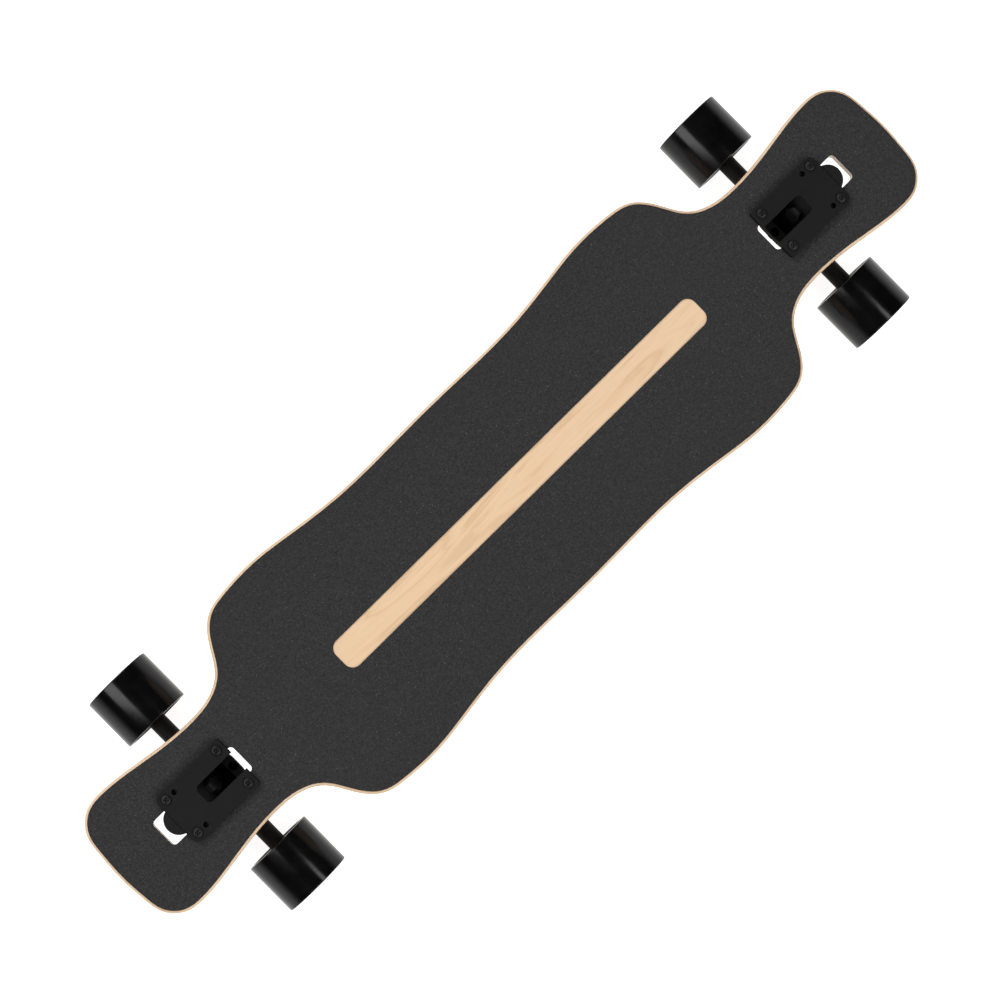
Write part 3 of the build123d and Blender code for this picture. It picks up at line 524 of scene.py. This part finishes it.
# %% Four cast tyres
wheel_radius = 0.035
edge_radius = 0.0014
shoulder = 0.0045
dish_edge = 0.0055
dish_depth = 0.0009
bore_lip = 0.0030
bores = {"front": 0.0191, "rear": 0.0271}
front_core = (0.0919, 0.1184)
rear_core_inset = 0.002
for end in ("front", "rear"):
    for side_name, side in (("left", 1), ("right", -1)):
        node = f"{end}_{side_name}_tyre"
        low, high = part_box(node)
        centre = (low + high) / 2
        inner = min(abs(low.y), abs(high.y))
        outer = max(abs(low.y), abs(high.y))
        bore = bores[end]
        rear_core = (inner + rear_core_inset, outer - rear_core_inset)
        core_low, core_high = front_core if end == "front" else rear_core
        profile = [
            (wheel_radius, inner, True), (wheel_radius, outer, True),
            (wheel_radius - shoulder, outer, True),
            (wheel_radius - dish_edge, outer - dish_depth, True),
            (bore + bore_lip, outer - dish_depth, True),
            (bore, core_high, False), (bore, core_low, False),
            (bore + bore_lip, inner + dish_depth, True),
            (wheel_radius - dish_edge, inner + dish_depth, True),
            (wheel_radius - shoulder, inner, True),
        ]
        hub = Vector((centre.x, 0, centre.z))
        outline = rounded(profile, edge_radius)
        tyre = turned_piece(f"cast_{node}", outline, hub, (0, side, 0), wheel_urethane)
        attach(tyre, f"{end}_{side_name}_wheel")
        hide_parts(node)
        print(tyre.name, "with", len(tyre.data.polygons), "faces")

# %% [markdown]
# ## Bushings
# Two urethane barrels hold each hanger on its kingpin. When the truck steers, a barrel's inner end tilts
# with the hanger while its outer end stays on the washer, so the barrel leans. Here each barrel is a fixed
# turned shape with rings along its length, tied to neither the board nor the truck.

# %% Barrels on the kingpins
barrel_radius = 0.0145
barrel_half = 0.00742
barrel_waist = 0.0007
rim_inset = 0.0008
rim_radius = 0.0012
bore_radius = 0.0051
bore_flare = 0.0014
ring_count = 14
barrel_steps = 72
for end in ("front", "rear"):
    centres = {}
    for place in ("boardside", "roadside"):
        low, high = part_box(f"{end}_{place}_bushing")
        centres[place] = (low + high) / 2
    middle = (centres["boardside"] + centres["roadside"]) / 2
    for place, centre in centres.items():
        inward = (middle - centre).normalized()
        wall = [(barrel_radius - barrel_waist * (k / 4 - 1) ** 2, (k / 4 - 1) * barrel_half * 0.8, False)
                for k in range(1, 8)]
        bore = [(bore_radius + bore_flare * k / ring_count, (2 * k / ring_count - 1) * barrel_half, False)
                for k in range(ring_count, -1, -1)]
        rim = barrel_radius - rim_inset
        profile = [(rim, -barrel_half, True), *wall, (rim, barrel_half, True), *bore]
        barrel = turned_piece(f"{end}_{place}_barrel", rounded(profile, rim_radius), centre, inward,
                              bushing_urethane, barrel_steps)
        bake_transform(barrel)
        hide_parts(f"{end}_{place}_bushing")
        print(barrel.name, "leans towards", tuple(round(v, 2) for v in inward))

# %% [markdown]
# ## The button's spring
# A wire coil pushes the power button out. It is a small circle swept along a helix, fixed to the board.

# %% Coil under the button
coil_turns = 4.5
wire_radius = 0.00034
coil_steps = 120
wire_steps = 10
low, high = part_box("button_spring")
middle = (low + high) / 2
coil_radius = (high.z - low.z) / 2 - wire_radius
shape = bmesh.new()
wire = []
for k in range(coil_steps + 1):
    share = k / coil_steps
    turn_angle = 2 * pi * coil_turns * share
    out = Vector((cos(turn_angle), 0, sin(turn_angle)))
    y_place = low.y + wire_radius + share * (high.y - low.y - 2 * wire_radius)
    core = Vector((middle.x, y_place, middle.z)) + out * coil_radius
    ring = []
    for i in range(wire_steps):
        round_wire = 2 * pi * i / wire_steps
        across = out * cos(round_wire) + Vector((0, sin(round_wire), 0))
        ring.append(shape.verts.new(core + wire_radius * across))
    wire.append(ring)
for k in range(coil_steps):
    for i in range(wire_steps):
        j = (i + 1) % wire_steps
        shape.faces.new((wire[k][i], wire[k][j], wire[k + 1][j], wire[k + 1][i]))
shape.faces.new(wire[0])
shape.faces.new(reversed(wire[-1]))
coil = finished_piece("button_coil", shape, zinc)
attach(coil, "board")
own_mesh(coil)
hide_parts("button_spring")

# %% [markdown]
# ## Studio
# A product studio lights its white floor from below, so hardly any shadow lies on it: here the floor
# glows. Blender's usual film curve dims whites, so the plain one is chosen to keep the floor white.

# %% Floor
bpy.context.scene.view_settings.view_transform = "Standard"
floor_half = 30.0
floor_glow = 0.9


def make_floor():
    s = Sheet("studio_floor")
    speckle = s.noise(300, 2.0, 0.5)
    paint = s.blend(speckle, linear(170, 170, 170), linear(176, 176, 176))
    s.finish(colour=paint, roughness=0.9, specular=0.1)
    s.shader.inputs["Emission Color"].default_value = (1, 1, 1, 1)
    s.shader.inputs["Emission Strength"].default_value = floor_glow
    low, high = -floor_half, floor_half
    mesh = bpy.data.meshes.new("studio_floor")
    mesh.from_pydata([(low, low, 0), (high, low, 0), (high, high, 0), (low, high, 0)], [], [(0, 1, 2, 3)])
    mesh.materials.append(s.material)
    floor = bpy.data.objects.new("studio_floor", mesh)
    bpy.context.scene.collection.objects.link(floor)


make_floor()

# %% [markdown]
# The main light comes from two long soft boxes left and right of the board. A wheel is a mirror bent
# round the sideways axle, so it can't reflect what stands far to the side: the boxes light the deck and
# leave the wheels black. Two smaller boxes behind and ahead are the ones the wheels do reflect, as bands.

# %% Lights and air
def soft_box(name, place, target, size, power, roll=0.0):
    data = bpy.data.lights.new(name, "AREA")
    data.shape = "RECTANGLE"
    data.size, data.size_y = size
    data.energy = power
    lamp = bpy.data.objects.new(name, data)
    bpy.context.scene.collection.objects.link(lamp)
    lamp.location = place
    lamp.rotation_euler = (Vector(target) - Vector(place)).to_track_quat("-Z", "Y").to_euler()
    lamp.rotation_euler.rotate_axis("Z", roll)
    print("light", name, power, "W")


soft_box("left_box", (0.1, 2.0, 2.0), (0, 0, 0.1), (3.2, 1.2), 64)
soft_box("right_box", (-0.1, -2.0, 2.0), (0, 0, 0.1), (3.2, 1.2), 60)
soft_box("left_band", (-1.56, 0.56, 2.2), (0.376, 0.2, 0.03), (0.8, 1.5), 24)
soft_box("right_band", (0.9, -0.72, 2.3), (-0.39, -0.2, 0.03), (0.9, 0.5), 9, roll=radians(30))

# %% [markdown]
# The air round the studio is bright at the horizon, as white walls are, and dark overhead, so that the
# wheels' tops stay black. The share is read from how far a direction points up.

# %% Air
horizon_to_overhead = {"From Min": 0.05, "From Max": 0.28, "To Min": 0.9, "To Max": 0.05}
world = bpy.data.worlds.new("studio_air")
world.use_nodes = True
air = world.node_tree
direction = air.nodes.new("ShaderNodeTexCoord")
upward = air.nodes.new("ShaderNodeSeparateXYZ")
fade = air.nodes.new("ShaderNodeMapRange")
for key, value in horizon_to_overhead.items():
    fade.inputs[key].default_value = value
air.links.new(direction.outputs["Generated"], upward.inputs[0])
air.links.new(upward.outputs["Z"], fade.inputs["Value"])
air.links.new(fade.outputs[0], air.nodes["Background"].inputs["Strength"])
air.nodes["Background"].inputs["Color"].default_value = (1, 1, 1, 1)
bpy.context.scene.world = world
